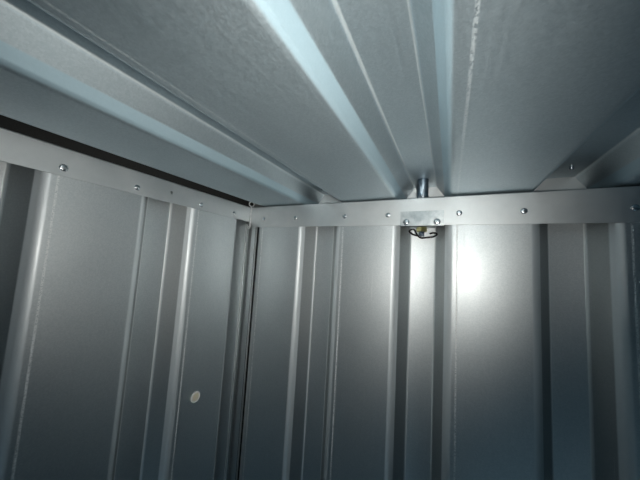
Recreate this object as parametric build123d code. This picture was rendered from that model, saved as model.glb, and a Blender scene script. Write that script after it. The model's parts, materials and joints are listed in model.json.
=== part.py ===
# Demountable storage container, single skinned, of galvanised trapezoidal sheet in a folded steel frame.
# The back wall is at +Y, the door at -Y, the left wall at -X. Z is up and z = 0 is the ground.
# Sections are drawn with u, the distance outwards from the inner face of a wall's pans.
from build123d import *
import math
import os

# Trapezoidal sheet 35/207
rib_pitch = 207.0
rib_depth = 35.0
crest_width = 42.0
web_run = 24.0
sheet_thickness = 0.75
pan_bend_radius = 11.0
lap_half_width = 17.0

# Size of the room, counted in ribs, and where its walls cut the rib pattern
across_pitch_count = 10
along_pitch_count = 14
side_rib_inset = 15.4
end_rib_inset = 2.0
container_height = 2150.0

# Fits between pieces
seat_gap = 0.3

# Ring of steel rails under the roof
rail_steel = 2.0
end_rail_height = 50.0
side_rail_height = 37.0
frame_reach = 64.0
fascia_drop = 60.0
fascia_lip = 24.0
seal_height = 2.5
seal_width = 20.0
seal_inset = 26.0

spare_hole_radius = 2.5
spare_hole_from_back = 209.0

# Ring of steel rails on the ground
base_steel = 3.0
base_height = 100.0
base_lip = 20.0
skirting_height = 40.0
cross_member_count = 7
cross_member_width = 50.0
cross_member_lip = 12.0
cross_member_inset = 75.0
floor_thickness = 21.0
floor_board_count = 3

# Corner posts
post_leg = 88.0
post_steel = 2.0
post_radius = 4.0

# Door frame and door leaves
stop_cover = 60.0
stop_drop = 28.0
sill_stop_height = 24.0
tube_radius = 2.0
leaf_depth = 40.0
leaf_bar = 50.0
leaf_side_gap = 3.0
leaf_middle_gap = 4.0
leaf_end_gap = 4.0
leaf_ribs = 4
lock_height = 1080.0
strip_width = 24.0
strip_overlap = 8.0
strip_thickness = 3.0

# Hinges
hinge_count = 3
hinge_height = 96.0
hinge_leaf_width = 48.0
hinge_plate = 4.0
hinge_barrel_radius = 9.0
hinge_pin_radius = 4.5
hinge_end_distance = 220.0

# Lock bar
lock_bar_radius = 11.0
lock_bar_clearance = 0.4
lock_bar_stand_off = 20.0
lock_bar_inset = 30.0
lock_collar_radius = 16.0
lock_guide_height = 26.0
lock_guide_width = 38.0
lock_guide_plate = 4.0
lock_lever_length = 340.0
lock_lever_height = 32.0
lock_lever_thickness = 8.0
lock_hub_height = 56.0
keeper_overrun = 14.0
lock_guide_distance = 300.0
catch_width = 40.0
catch_post_width = 24.0

# Ties between the end rails and the roof
tie_rib = 3
tie_plate_width = 72.5
tie_plate_height = 25.5
tie_plate_steel = 2.0
tie_tongue_reach = 22.0
tie_tongue_width = 44.0
tie_axis = 10.0
tie_bolt_radius = 5.0
tie_nut_size = 17.0
tie_nut_height = 8.0
tie_head_height = 5.0
tie_bolt_tail = 7.0
tie_sleeve_radius = 10.0
tie_hole_gap = 0.5

# Pins in the corners of the roof frame
pin_radius = 1.7
pin_drop = 52.0
pin_eye_radius = 5.5
pin_sides = 12
pin_tip_size = 7.0
pin_tip_height = 3.5

# Plug in the left wall
plug_radius = 10.0
plug_rise = 3.0
plug_bevel = 1.6
plug_stem_radius = 6.0
plug_stem = 4.0
plug_from_back = 114.0
plug_below_rail = 404.0

# Values that follow from the driving dimensions
room_width = across_pitch_count * rib_pitch - 2 * side_rib_inset
room_length = along_pitch_count * rib_pitch - 2 * end_rib_inset
half_width = room_width / 2
half_length = room_length / 2
lap_rise = sheet_thickness + seat_gap
roof_build_up = seal_height + rib_depth + sheet_thickness + lap_rise + seat_gap
rail_top = container_height - rail_steel - roof_build_up
roof_level = rail_top + seal_height + seat_gap / 2
fascia_bottom = rail_top - fascia_drop
wall_foot = base_height + seat_gap
wall_head = rail_top - rail_steel - seat_gap
fascia_inner = frame_reach - rail_steel
post_outer = frame_reach - base_steel - seat_gap
post_inner = rib_depth + sheet_thickness + seat_gap
floor_level = base_height - base_steel
floor_top = floor_level + floor_thickness
leaf_outer = post_outer
leaf_inner = leaf_outer - leaf_depth
stop_depth = leaf_inner - seat_gap
doorway_half = half_width + post_outer - post_leg
leaf_width = doorway_half - leaf_side_gap - leaf_middle_gap / 2
leaf_foot = base_height + leaf_end_gap
leaf_head = fascia_bottom - leaf_end_gap
lock_axis = leaf_outer + lock_bar_stand_off
door_furniture_reach = lock_axis + lock_collar_radius - frame_reach
room_centre_y = door_furniture_reach / 2

# Sides of the small round parts that repeat
small_round_sides = 16

# Inside radii of folds: tight ones are round on their outer face alone, sharp ones on neither
tight = 0
sharp = -1

# The four sides: turn about Z, distance of the inner face, half of its length
sides = {
    "back": (0, half_length, half_width),
    "left": (90, half_width, half_length),
    "front": (180, half_length, half_width),
    "right": (270, half_width, half_length),
}


def save(node, *solids):
    """Writes one named piece, moved so that the whole container is centred on the origin."""
    placed = [Pos(0, room_centre_y, 0) * solid for solid in solids]
    export_step(placed[0] if len(placed) == 1 else Compound(children=placed), f"parts/{node}.step")


def offset_points(points, distance):
    """Corners of the line that runs beside an open polyline, to its left."""
    normals = []
    for (x0, y0), (x1, y1) in zip(points, points[1:]):
        run = math.hypot(x1 - x0, y1 - y0)
        normals.append(((y0 - y1) / run, (x1 - x0) / run))
    shifted = []
    for index, (x, y) in enumerate(points):
        before = normals[max(index - 1, 0)]
        after = normals[min(index, len(normals) - 1)]
        share = distance / (1 + before[0] * after[0] + before[1] * after[1])
        shifted.append((x + (before[0] + after[0]) * share, y + (before[1] + after[1]) * share))
    return shifted


def folded_section(points, thickness, inside_radii):
    """Section of a folded sheet: one face follows the points, the other lies to their left."""
    others = offset_points(points, thickness)
    near_radii = []
    far_radii = []
    for a, b, c, radius in zip(points, points[1:], points[2:], inside_radii):
        turn = (b[0] - a[0]) * (c[1] - b[1]) - (b[1] - a[1]) * (c[0] - b[0])
        near_radii.append(radius + thickness if turn > 0 and radius != sharp else max(radius, 0))
        far_radii.append(radius + thickness if turn < 0 and radius != sharp else max(radius, 0))
    with BuildSketch() as section:
        with BuildLine():
            FilletPolyline(*points, radius=near_radii)
            FilletPolyline(*others, radius=far_radii)
            Line(points[0], others[0])
            Line(points[-1], others[-1])
        make_face()
    return section.sketch


def tube_section(corners, thickness, radius, square=()):
    """Section of a closed tube whose outer face follows the corners, rounded but for the square ones."""
    outline = make_face(Polyline(*corners, close=True))
    hollow = offset(outline, amount=-thickness, kind=Kind.INTERSECTION)
    points = outline.vertices()
    rounded = [point for point in points if all(math.dist((point.X, point.Y), spot) > radius for spot in square)]
    return fillet(rounded, radius) - hollow


def along_side(section, distance, start, length):
    """Extrudes a section drawn in u and z along a wall, in the direction of +X."""
    plane = Plane(origin=(start, distance, 0), x_dir=(0, 1, 0), z_dir=(1, 0, 0))
    return extrude(plane * section, length)


def ring_bar(section, side):
    """One side of a ring of rails, mitred at its two corners."""
    turn, distance, half_run = sides[side]
    bar = along_side(section, distance, -half_run - 2 * frame_reach, 2 * half_run + 4 * frame_reach)
    near = half_run - frame_reach - seat_gap / 2
    far = half_run + 2 * frame_reach - seat_gap / 2
    plan = make_face(
        Polyline(
            (-near, distance - frame_reach),
            (near, distance - frame_reach),
            (far, distance + 2 * frame_reach),
            (-far, distance + 2 * frame_reach),
            close=True,
        )
    )
    wedge = extrude(Pos(0, 0, -base_height) * plan, container_height + 2 * base_height)
    return Rot(0, 0, turn) * (bar & wedge)


def rib_line(centres, start, stop, lap_start=False):
    """Inner face of a trapezoidal sheet, from the crest of its first rib to that of its last."""
    half_crest = crest_width / 2
    first_rise = rib_depth + (lap_rise if lap_start else 0)
    points = [(start, first_rise), (centres[0] + half_crest, first_rise)]
    points.append((centres[0] + half_crest + web_run, 0))
    for centre in centres[1:-1]:
        points.append((centre - half_crest - web_run, 0))
        points.append((centre - half_crest, rib_depth))
        points.append((centre + half_crest, rib_depth))
        points.append((centre + half_crest + web_run, 0))
    points.append((centres[-1] - half_crest - web_run, 0))
    points.append((centres[-1] - half_crest, rib_depth))
    points.append((stop, rib_depth))
    return points


def bend_radii(points):
    """Wide bends beside the pans and sharp ones beside the crests."""
    return [pan_bend_radius if point[1] == 0 else sharp for point in points[1:-1]]


def rib_section(points):
    """Section of a trapezoidal sheet whose inner face follows the points."""
    return folded_section(points, sheet_thickness, bend_radii(points))


def rib_centres(first, last):
    """Centres of the ribs with these numbers, counted from the middle of the wall."""
    return [number * rib_pitch for number in range(first, last + 1)]


def wall_sheet(points, side):
    """An upright sheet between the base rail and the top rail."""
    turn, distance, _ = sides[side]
    section = Pos(0, distance, wall_foot) * rib_section(points)
    return Rot(0, 0, turn) * extrude(section, wall_head - wall_foot)


def hexagon_prism(across_flats, height):
    """A nut or a bolt head, standing on z = 0."""
    return extrude(RegularPolygon(across_flats / 2, 6, major_radius=False), height)


def small_round(radius, height):
    """A small round bar of few faces, whose flats lie at the radius, standing on z = 0."""
    flat_outwards = Rot(0, 0, 180 / small_round_sides)
    return extrude(flat_outwards * RegularPolygon(radius, small_round_sides, major_radius=False), height)


os.makedirs("parts", exist_ok=True)

# Base rails: an outer channel with a lip that hides the foot of the sheets, and a ledge with a skirting
for side in sides:
    lip_top = base_height if side == "front" else base_height + base_lip
    skirting_top = floor_top if side == "front" else base_height + skirting_height
    channel_line = [(0, 0), (frame_reach, 0), (frame_reach, lip_top)]
    ledge_line = [
        (-base_steel - seat_gap, skirting_top),
        (-base_steel - seat_gap, floor_level),
        (frame_reach - base_steel / 2, floor_level),
    ]
    channel = ring_bar(folded_section(channel_line, base_steel, [tight]), side)
    ledge = ring_bar(folded_section(ledge_line, base_steel, [tight]), side)
    save(f"base_rail_{side}", (channel + ledge).solid())

# Cross members: lipped channels under the floor, from one side rail to the other
member_height = floor_level - base_steel - 2 * seat_gap
member_line = [
    (cross_member_width, cross_member_lip),
    (cross_member_width, 0),
    (0, 0),
    (0, member_height),
    (cross_member_width, member_height),
    (cross_member_width, member_height - cross_member_lip),
]
member_section = folded_section(list(reversed(member_line)), rail_steel, [sharp] * 4)
member_reach = half_width + frame_reach - base_steel - seat_gap
member_pitch = (room_length - 2 * cross_member_inset - cross_member_width) / (cross_member_count - 1)
members = []
for number in range(cross_member_count):
    member_y = -half_length + cross_member_inset + number * member_pitch
    member = along_side(Pos(0, base_steel + seat_gap) * member_section, member_y, -member_reach, 2 * member_reach)
    members.append(member)
save("cross_members", *members)

# Floor boards of plywood on the cross members, inside the skirting
board_inset = base_steel + 2 * seat_gap
board_run = (room_length - 2 * board_inset + 2 * seat_gap) / floor_board_count
boards = []
for number in range(floor_board_count):
    board = Box(
        room_width - 2 * board_inset,
        board_run - 2 * seat_gap,
        floor_thickness,
        align=(Align.CENTER, Align.MIN, Align.MIN),
    )
    boards.append(Pos(0, -half_length + board_inset + number * board_run, floor_level) * board)
save("floor_boards", *boards)

# Corner posts: angled tubes outside the sheets, with the sheets' ends turned out against them
post_depth = post_outer - post_inner
post_corners = [
    (0, 0),
    (-post_leg, 0),
    (-post_leg, -post_depth),
    (-post_depth, -post_depth),
    (-post_depth, -post_leg),
    (0, -post_leg),
]
post_section = tube_section(post_corners, post_steel, post_radius, [(-post_depth, -post_depth)])
post = extrude(Pos(half_width + post_outer, half_length + post_outer, wall_foot) * post_section, wall_head - wall_foot)
save("corner_post_back_right", post)
save("corner_post_back_left", mirror(post, about=Plane.YZ))
save("corner_post_front_right", mirror(post, about=Plane.XZ))
save("corner_post_front_left", mirror(mirror(post, about=Plane.XZ), about=Plane.YZ))

# Back wall: two sheets that lap on the middle rib
across = across_pitch_count // 2
back_reach = half_width + rib_depth + sheet_thickness
back_left = rib_line(rib_centres(-across, 0), -back_reach, lap_half_width)
back_right = rib_line(rib_centres(0, across), -lap_half_width, back_reach, lap_start=True)
save("back_wall_sheet_left", wall_sheet(back_left, "back"))
save("back_wall_sheet_right", wall_sheet(back_right, "back"))

# Side walls: three sheets each, lapped on ribs, and closed by the turned-out sheet of the back wall
along = along_pitch_count // 2
lap_rib = across - along
side_reach = half_length + rib_depth - seat_gap
front_line = rib_line(rib_centres(-along, lap_rib), -side_reach, lap_rib * rib_pitch + lap_half_width)
middle_line = rib_line(
    rib_centres(lap_rib, -lap_rib),
    lap_rib * rib_pitch - lap_half_width,
    -lap_rib * rib_pitch + lap_half_width,
    lap_start=True,
)
back_line = rib_line(rib_centres(-lap_rib, along), -lap_rib * rib_pitch - lap_half_width, side_reach, lap_start=True)
plug_place = Pos(-half_width, half_length - plug_from_back, rail_top - plug_below_rail) * Rot(0, 90, 0)
for place, line in (("front", front_line), ("middle", middle_line), ("back", back_line)):
    sheet = wall_sheet(line, "left")
    save(f"right_wall_sheet_{place}", mirror(sheet, about=Plane.YZ))
    if place == "back":
        sheet -= plug_place * Pos(0, 0, -rib_depth) * small_round(plug_stem_radius + seat_gap, 2 * rib_depth)
    save(f"left_wall_sheet_{place}", sheet.solid())


def leg_corner(end):
    """The corner that is cut from the leg of an end rail, down from the side rail's lower edge."""
    corner_x = half_width - rail_steel - seat_gap
    cut = end_rail_height - side_rail_height
    triangle = make_face(
        Polyline(
            (end * (corner_x + cut), rail_top - side_rail_height + cut),
            (end * (corner_x + cut), rail_top - end_rail_height - cut),
            (end * (corner_x - 2 * cut), rail_top - end_rail_height - cut),
            close=True,
        )
    )
    plane = Plane(origin=(0, half_length + seal_inset, 0), x_dir=(1, 0, 0), z_dir=(0, -1, 0))
    return extrude(plane * triangle, 2 * seal_inset)


# Top rails: angles whose leg hangs inside the sheets, longer on the ends than on the sides
tie_spots = [(-tie_rib * rib_pitch, half_length + tie_axis), (tie_rib * rib_pitch, half_length + tie_axis)]
for side in sides:
    leg = end_rail_height if side in ("back", "front") else side_rail_height
    rail_line = [
        (fascia_inner - seat_gap, rail_top),
        (-rail_steel - seat_gap, rail_top),
        (-rail_steel - seat_gap, rail_top - leg),
    ]
    rail = ring_bar(folded_section(rail_line, rail_steel, [tight]), side)
    if side in ("back", "front"):
        for end in (-1, 1):
            rail -= Rot(0, 0, sides[side][0]) * leg_corner(end)
    if side == "left":
        spare_hole = Rot(0, 90, 0) * Cylinder(spare_hole_radius, 4 * rail_steel)
        rail -= Pos(-half_width, half_length - spare_hole_from_back, rail_top - leg / 2) * spare_hole
    for x, y in tie_spots:
        rail -= Pos(x, y, rail_top) * Cylinder(tie_bolt_radius + tie_hole_gap, 4 * rail_steel)
    save(f"top_rail_{side}", rail.solid())

# Fascias: the outer face of the roof frame, with a lip over the ends of the roof sheets
fascia_line = [
    (frame_reach, fascia_bottom),
    (frame_reach, container_height),
    (frame_reach - fascia_lip, container_height),
]
fascia_section = folded_section(fascia_line, rail_steel, [tight])
for side in sides:
    save(f"fascia_{side}", ring_bar(fascia_section, side))

# Sealing strips between the top rails and the roof sheets
seal_end = Pos(0, 0, rail_top) * Box(
    room_width, seal_width, seal_height - seat_gap / 2, align=(Align.CENTER, Align.MIN, Align.MIN)
)
seal_side = Pos(0, 0, rail_top) * Box(
    seal_width, room_length, seal_height - seat_gap / 2, align=(Align.MIN, Align.CENTER, Align.MIN)
)
seal_side_x = half_width + fascia_inner - seal_width - seat_gap
save(
    "roof_seals",
    Pos(0, half_length + seal_inset, 0) * seal_end,
    Pos(0, -half_length - seal_inset - seal_width, 0) * seal_end,
    Pos(seal_side_x, 0, 0) * seal_side,
    Pos(-seal_side_x - seal_width, 0, 0) * seal_side,
)

# Roof: two sheets with their ribs along Y, over the ribs of the back wall, lapped on the middle rib
roof_run = 2 * (half_length + fascia_inner - seat_gap)
roof_plane = Plane(origin=(0, roof_run / 2, roof_level), x_dir=(1, 0, 0), z_dir=(0, -1, 0))
outer_rib = across * rib_pitch + crest_width / 2
tie_hole = Cylinder(tie_bolt_radius + tie_hole_gap, 2 * rib_depth)
roof_left = rib_line(rib_centres(-across, 0), -outer_rib, lap_half_width)
roof_left = [(-outer_rib - web_run, 0)] + roof_left
roof_right = rib_line(rib_centres(0, across), -lap_half_width, outer_rib, lap_start=True)
roof_right = roof_right + [(outer_rib + web_run, 0)]
for name, line in (("roof_sheet_left", roof_left), ("roof_sheet_right", roof_right)):
    roof_sheet = extrude(roof_plane * rib_section(line), roof_run)
    for x, y in tie_spots:
        roof_sheet -= Pos(x, y, roof_level + rib_depth) * tie_hole
    save(name, roof_sheet.solid())

# Door jambs: tubes behind the front posts whose inner edge is the stop of the door
jamb_side = rib_depth - seat_gap
jamb_rebate = doorway_half - half_width
jamb_corners = [
    (jamb_side, 0),
    (-stop_cover, 0),
    (-stop_cover, -stop_depth),
    (jamb_rebate, -stop_depth),
    (jamb_rebate, -rib_depth),
    (jamb_side, -rib_depth),
]
jamb_section = tube_section(jamb_corners, rail_steel, tube_radius)
jamb = extrude(Pos(half_width, -half_length, wall_foot) * jamb_section, wall_head - wall_foot)
save("door_jambs", jamb, mirror(jamb, about=Plane.YZ))

# Door header and sill stop, between the jambs
header_corners = [
    (0, wall_head),
    (fascia_inner - seat_gap, wall_head),
    (fascia_inner - seat_gap, fascia_bottom),
    (stop_depth, fascia_bottom),
    (stop_depth, fascia_bottom - stop_drop),
    (0, fascia_bottom - stop_drop),
]
stop_run = room_width - 2 * stop_cover - 2 * seat_gap
header = along_side(tube_section(header_corners, rail_steel, tube_radius), half_length, -stop_run / 2, stop_run)
save("door_header", Rot(0, 0, 180) * header)
sill_corners = [
    (0, wall_foot),
    (stop_depth, wall_foot),
    (stop_depth, wall_foot + sill_stop_height),
    (0, wall_foot + sill_stop_height),
]
sill = along_side(tube_section(sill_corners, rail_steel, tube_radius), half_length, -stop_run / 2, stop_run)
save("door_sill_stop", Rot(0, 0, 180) * sill)

# Door leaves: upright and level tubes, with the strip of the right leaf that covers the middle gap
leaf_left_edges = (-leaf_middle_gap / 2 - leaf_width, leaf_middle_gap / 2)
stile_section = tube_section(
    [(0, 0), (leaf_bar, 0), (leaf_bar, -leaf_depth), (0, -leaf_depth)], rail_steel, tube_radius
)
bar_section = tube_section(
    [(leaf_inner, 0), (leaf_outer, 0), (leaf_outer, leaf_bar), (leaf_inner, leaf_bar)], rail_steel, tube_radius
)
bar_run = leaf_width - 2 * leaf_bar - 2 * seat_gap
bar_levels = (leaf_foot, lock_height - leaf_bar / 2, leaf_head - leaf_bar)
stiles = []
bars = []
for edge in leaf_left_edges:
    for x in (edge, edge + leaf_width - leaf_bar):
        stile = extrude(Pos(x, -half_length - leaf_inner, leaf_foot) * stile_section, leaf_head - leaf_foot)
        stiles.append(stile)
    for level in bar_levels:
        start = -edge - leaf_width + leaf_bar + seat_gap
        bar = along_side(Pos(0, level) * bar_section, half_length, start, bar_run)
        bars.append(Rot(0, 0, 180) * bar)
strip = Box(
    strip_width, strip_thickness, leaf_head - leaf_foot, align=(Align.CENTER, Align.MAX, Align.MIN)
)
strip_x = strip_overlap - strip_width / 2
stiles.append(Pos(strip_x, -half_length - leaf_outer - seat_gap, leaf_foot) * strip)
save("door_stiles", *stiles)
save("door_bars", *bars)

# Door panels: trapezoidal sheet above and below the middle bar of each leaf
panel_run = leaf_width - 2 * leaf_bar - 2 * seat_gap
panel_ribs = [(number - (leaf_ribs - 1) / 2) * rib_pitch for number in range(leaf_ribs)]
panel_line = [(-panel_run / 2, 0)]
for centre in panel_ribs:
    panel_line.append((centre - crest_width / 2 - web_run, 0))
    panel_line.append((centre - crest_width / 2, rib_depth))
    panel_line.append((centre + crest_width / 2, rib_depth))
    panel_line.append((centre + crest_width / 2 + web_run, 0))
panel_line.append((panel_run / 2, 0))
panel_section = folded_section(panel_line, sheet_thickness, [sharp for _ in panel_line[1:-1]])
panel_level = half_length + leaf_inner + (leaf_depth - rib_depth - sheet_thickness) / 2
for name, edge in zip(("left", "right"), leaf_left_edges):
    panels = []
    for low, high in zip(bar_levels, bar_levels[1:]):
        foot = low + leaf_bar + seat_gap
        panel = extrude(Pos(0, panel_level, foot) * panel_section, high - low - leaf_bar - 2 * seat_gap)
        panels.append(Pos(edge + leaf_width / 2, 0, 0) * (Rot(0, 0, 180) * panel))
    save(f"door_panels_{name}", *panels)

# Hinges: a half with a pin on each post, and a half that is lifted on to it on each leaf
hinge_x = doorway_half - leaf_side_gap / 2
hinge_face = -half_length - leaf_outer - seat_gap
hinge_y = hinge_face - hinge_barrel_radius - seat_gap
knuckle = hinge_height / 2 - seat_gap / 2
hinge_first = leaf_foot + hinge_end_distance
hinge_pitch = (leaf_head - leaf_foot - 2 * hinge_end_distance) / (hinge_count - 1)
plate = Pos(leaf_side_gap / 2, hinge_face - hinge_y, 0) * Box(
    hinge_leaf_width, hinge_plate, hinge_height, align=(Align.MIN, Align.MAX, Align.CENTER)
)
notch = Box(
    2 * hinge_barrel_radius + 2 * leaf_side_gap,
    4 * hinge_barrel_radius,
    hinge_height,
    align=(Align.CENTER, Align.CENTER, Align.MIN),
)
fixed_barrel = Pos(0, 0, -hinge_height / 2) * small_round(hinge_barrel_radius, knuckle)
pin = Pos(0, 0, -hinge_height / 2) * small_round(hinge_pin_radius, hinge_height - hinge_pin_radius)
fixed_half = (plate - Pos(0, 0, -seat_gap / 2) * notch + fixed_barrel + pin).solid()
moving_barrel = Pos(0, 0, seat_gap / 2) * small_round(hinge_barrel_radius, knuckle)
pin_bore = Pos(0, 0, -hinge_height) * small_round(hinge_pin_radius + seat_gap, 2 * hinge_height)
moving_plate = mirror(plate, about=Plane.YZ) - Pos(0, 0, seat_gap / 2 - hinge_height) * notch
moving_half = (moving_plate + moving_barrel - pin_bore).solid()
fixed_halves = []
moving_halves = []
for number in range(hinge_count):
    z = hinge_first + number * hinge_pitch
    fixed_right = Pos(hinge_x, hinge_y, z) * fixed_half
    moving_right = Pos(hinge_x, hinge_y, z) * moving_half
    fixed_halves += [fixed_right, mirror(fixed_right, about=Plane.YZ)]
    moving_halves += [moving_right, mirror(moving_right, about=Plane.YZ)]
save("hinge_halves_on_posts", *fixed_halves)
save("hinge_halves_on_leaves", *moving_halves)

# Lock bar: a round bar with a welded lever, turned in guides on the right leaf and held by two keepers
lock_x = lock_bar_inset
lock_y = -half_length - lock_axis
bar_foot = base_height - 2 * lock_guide_height
bar_head = fascia_bottom + 2 * lock_guide_height
lock_bar = Pos(lock_x, lock_y, bar_foot) * Cylinder(
    lock_bar_radius, bar_head - bar_foot, align=(Align.CENTER, Align.CENTER, Align.MIN)
)
hub = Pos(lock_x, lock_y, lock_height) * Cylinder(lock_collar_radius, lock_hub_height)
lever = Pos(lock_x, lock_y, lock_height) * Box(
    lock_lever_length, lock_lever_thickness, lock_lever_height, align=(Align.MIN, Align.CENTER, Align.CENTER)
)
lever_end = Pos(lock_x + lock_lever_length, lock_y, lock_height) * Rot(90, 0, 0) * Cylinder(
    lock_lever_height / 2, lock_lever_thickness
)
save("lock_bar", (lock_bar + hub + lever + lever_end).solid())


def bar_guide(stand_off, width):
    """Bearing for the lock bar: a plate on the face at y = stand_off, with a neck and a collar."""
    guide_plate = Pos(0, stand_off, 0) * Box(
        width, lock_guide_plate, lock_guide_height, align=(Align.CENTER, Align.MAX, Align.CENTER)
    )
    neck = Box(2 * lock_collar_radius, stand_off, lock_guide_height, align=(Align.CENTER, Align.MIN, Align.CENTER))
    collar = Pos(0, 0, -lock_guide_height / 2) * small_round(lock_collar_radius, lock_guide_height)
    bore = Pos(0, 0, -lock_guide_height) * small_round(lock_bar_radius + lock_bar_clearance, 2 * lock_guide_height)
    return (guide_plate + neck + collar - bore).solid()


leaf_guide = bar_guide(lock_bar_stand_off - seat_gap, lock_guide_width)
frame_keeper = bar_guide(lock_axis - frame_reach - seat_gap, lock_guide_width)
guides = []
for level in (leaf_foot + lock_guide_distance, leaf_head - lock_guide_distance):
    guides.append(Pos(lock_x, lock_y, level) * leaf_guide)
guides.append(Pos(lock_x, lock_y, bar_foot + keeper_overrun + lock_guide_height / 2) * frame_keeper)
guides.append(Pos(lock_x, lock_y, bar_head - keeper_overrun - lock_guide_height / 2) * frame_keeper)
save("lock_guides", *guides)

# Lever catch on the middle bar of the right leaf
catch_plate = Box(catch_width, lock_guide_plate, leaf_bar, align=(Align.CENTER, Align.MAX, Align.CENTER))
catch_reach = lock_bar_stand_off - seat_gap - lock_lever_thickness / 2 - seat_gap
catch_post = Box(catch_post_width, catch_reach, lock_lever_height, align=(Align.CENTER, Align.MAX, Align.CENTER))
catch_x = lock_x + lock_lever_length - lock_lever_height
save(
    "lever_catch",
    Pos(catch_x, -half_length - leaf_outer - seat_gap, lock_height) * (catch_plate + catch_post).solid(),
)

# Ties: folded plates on the end rails, with bolts through the rail and a sleeve up to the crest
rail_foot = rail_top - end_rail_height
crest_under = roof_level + rib_depth
plate_line = [
    (tie_tongue_reach, rail_foot - seat_gap - tie_plate_steel),
    (-rail_steel - 2 * seat_gap - tie_plate_steel, rail_foot - seat_gap - tie_plate_steel),
    (-rail_steel - 2 * seat_gap - tie_plate_steel, rail_foot - seat_gap + tie_plate_height),
]
plate_section = folded_section(list(reversed(plate_line)), tie_plate_steel, [tight])
tie_plate = along_side(plate_section, 0, -tie_plate_width / 2, tie_plate_width)
plate_hole = Cylinder(tie_bolt_radius + tie_hole_gap, 4 * tie_plate_steel)
tongue_side = Box(
    tie_plate_width, tie_tongue_reach, 2 * tie_plate_height, align=(Align.MIN, Align.MIN, Align.CENTER)
)
tie_plate -= Pos(tie_tongue_width / 2, 0, rail_foot) * tongue_side
tie_plate -= Pos(-tie_tongue_width / 2 - tie_plate_width, 0, rail_foot) * tongue_side
tie_plate -= Pos(0, tie_axis, rail_foot - tie_plate_steel) * plate_hole
nut_top = rail_foot - 2 * seat_gap - tie_plate_steel
bolt_foot = nut_top - tie_nut_height - tie_bolt_tail
head_foot = crest_under + sheet_thickness + seat_gap
shank = Pos(0, 0, bolt_foot) * small_round(tie_bolt_radius, head_foot - bolt_foot)
lower_nut = Pos(0, 0, nut_top - tie_nut_height) * hexagon_prism(tie_nut_size, tie_nut_height)
sleeve = Pos(0, 0, rail_top + seat_gap) * Cylinder(
    tie_sleeve_radius, crest_under - rail_top - 2 * seat_gap, align=(Align.CENTER, Align.CENTER, Align.MIN)
)
head = Pos(0, 0, head_foot) * hexagon_prism(tie_nut_size, tie_head_height)
tie_bolt = (shank + lower_nut + sleeve + head).solid()
save("tie_plates", *[Pos(x, half_length, 0) * tie_plate.solid() for x, _ in tie_spots])
save("tie_bolts", *[Pos(x, y, 0) * tie_bolt for x, y in tie_spots])

# Corner pins: bent wire with an eye, hung in each corner where the top rails meet
pin_seat = rail_steel + 2 * seat_gap + pin_radius
pin_x = half_width - pin_seat
pin_y = half_length - pin_seat
eye = RegularPolygon(pin_eye_radius, pin_sides) - RegularPolygon(pin_eye_radius - 2 * pin_radius, pin_sides)
eye_level = seat_gap + pin_eye_radius
eye_solid = Pos(0, 0, eye_level) * (Rot(0, 0, -45) * (Rot(90, 0, 0) * extrude(eye, pin_radius, both=True)))
wire = Pos(0, 0, -pin_drop) * extrude(RegularPolygon(pin_radius, pin_sides), pin_drop + pin_radius)
tip = Pos(0, 0, -pin_drop) * hexagon_prism(pin_tip_size, pin_tip_height)
corner_pin = Pos(pin_x, pin_y, rail_top) * (eye_solid + wire + tip).solid()
corner_pins = [corner_pin, mirror(corner_pin, about=Plane.YZ)]
corner_pins += [mirror(pin, about=Plane.XZ) for pin in corner_pins]
save("corner_pins", *corner_pins)

# Plug: a bevelled cap with a stem, pressed into a hole in the left wall
plug_cap = small_round(plug_radius, plug_rise)
plug_cap = chamfer(plug_cap.faces().sort_by(Axis.Z)[-1].edges(), plug_bevel)
stem = Pos(0, 0, -plug_stem) * small_round(plug_stem_radius, plug_stem)
save("wall_plug", plug_place * Pos(0, 0, seat_gap) * (plug_cap + stem).solid())
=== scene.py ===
import json
import math
import bpy
import bmesh
from mathutils import Matrix, Vector


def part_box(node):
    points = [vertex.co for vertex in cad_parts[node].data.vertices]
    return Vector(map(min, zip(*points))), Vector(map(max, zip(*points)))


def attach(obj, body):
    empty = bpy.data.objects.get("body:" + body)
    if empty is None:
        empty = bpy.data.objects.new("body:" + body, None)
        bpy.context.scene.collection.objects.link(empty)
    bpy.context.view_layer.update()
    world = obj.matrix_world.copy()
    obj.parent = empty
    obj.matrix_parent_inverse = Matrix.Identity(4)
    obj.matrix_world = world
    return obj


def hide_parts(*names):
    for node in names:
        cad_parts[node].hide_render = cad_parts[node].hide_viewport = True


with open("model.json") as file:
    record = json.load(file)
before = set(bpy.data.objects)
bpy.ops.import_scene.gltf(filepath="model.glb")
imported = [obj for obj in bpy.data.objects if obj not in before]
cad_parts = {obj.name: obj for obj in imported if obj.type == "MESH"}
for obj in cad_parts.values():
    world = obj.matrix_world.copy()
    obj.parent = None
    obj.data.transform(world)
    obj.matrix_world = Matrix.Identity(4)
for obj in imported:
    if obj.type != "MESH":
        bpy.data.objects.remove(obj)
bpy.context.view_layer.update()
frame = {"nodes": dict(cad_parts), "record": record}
scene = bpy.context.scene
scene.view_settings.view_transform = "Standard"

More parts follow.
